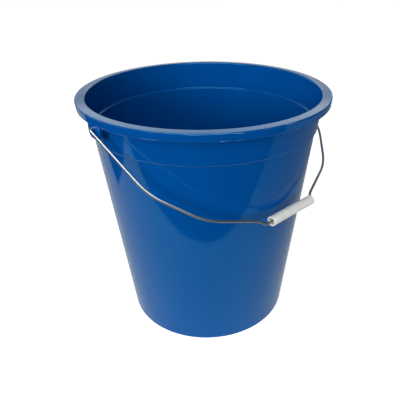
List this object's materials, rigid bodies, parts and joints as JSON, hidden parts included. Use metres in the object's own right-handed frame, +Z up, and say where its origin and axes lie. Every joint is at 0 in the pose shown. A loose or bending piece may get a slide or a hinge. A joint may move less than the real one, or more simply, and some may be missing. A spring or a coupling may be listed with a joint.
{
  "type": "wash bucket",
  "caption": "Round tapered plastic wash bucket with a stepped collar, a turned-down rim, side ears and a swinging wire bail with a tube grip.",
  "frame": {"origin": "on the ground under the middle of the bucket, at the centre of its foot ring", "axes": "+Z up along the bucket's axis, +X along the bail's hinge line through both ears, -Y the side on which the bail hangs"},
  "size_m": [0.357, 0.3448, 0.3428],
  "materials": {
    "blue_polypropylene": "gloss",
    "galvanised_wire": "satin",
    "white_polyethylene": "satin"
  },
  "bodies": {
    "bucket": {"bucket": "blue_polypropylene"},
    "bail": {"bail": "galvanised_wire"},
    "grip": {"grip": "white_polyethylene"}
  },
  "joints": [
    {"name": "bail_swing", "type": "hinge", "parent": "bucket", "child": "bail", "pos_m": [0, 0, 0.3295], "axis": [-1, 0, 0], "range_deg": [-3.7, 255.3]},
    {"name": "grip_spin", "type": "hinge", "parent": "bail", "child": "grip", "pos_m": [0.0055, -0.15921, 0.21467], "axis": [1, 0, 0], "continuous": true}
  ]
}
